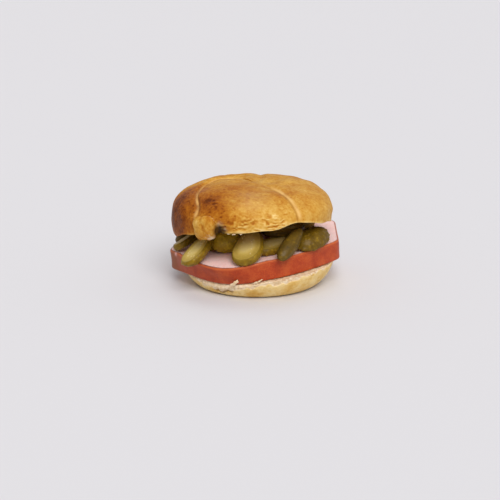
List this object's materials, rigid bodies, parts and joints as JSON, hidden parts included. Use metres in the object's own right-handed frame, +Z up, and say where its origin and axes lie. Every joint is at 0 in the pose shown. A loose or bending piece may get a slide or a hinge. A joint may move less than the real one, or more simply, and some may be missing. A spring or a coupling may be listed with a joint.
{
  "type": "leberkase roll",
  "caption": "Halved star-topped bread roll filled with a thick slice of turkey leberkase and lengthwise gherkin slices, its top lifted at the front.",
  "frame": {"origin": "middle of the bounding box in X and Y, at the underside the roll rests on", "axes": "+Z up, -Y towards the open front of the roll, +X to the right of someone facing that front"},
  "size_m": [0.1064, 0.1007, 0.0641],
  "materials": {
    "crust": "browned, slightly glossy bread crust",
    "pale_crust": "pale bread crust with white crumb on its cut face",
    "leberkase": "moist fine meat loaf, pink inside with a red-brown rind",
    "gherkin": "wet pickled gherkin, olive skin and pale flesh"
  },
  "bodies": {
    "root": {"crown": "crust", "heel": "pale_crust", "leberkase_slice": "leberkase", "gherkin_1": "gherkin", "gherkin_2": "gherkin", "gherkin_3": "gherkin", "gherkin_4": "gherkin", "gherkin_5": "gherkin", "gherkin_6": "gherkin", "gherkin_7": "gherkin", "gherkin_8": "gherkin", "gherkin_9": "gherkin", "gherkin_10": "gherkin", "gherkin_11": "gherkin", "gherkin_12": "gherkin"}
  },
  "joints": []
}
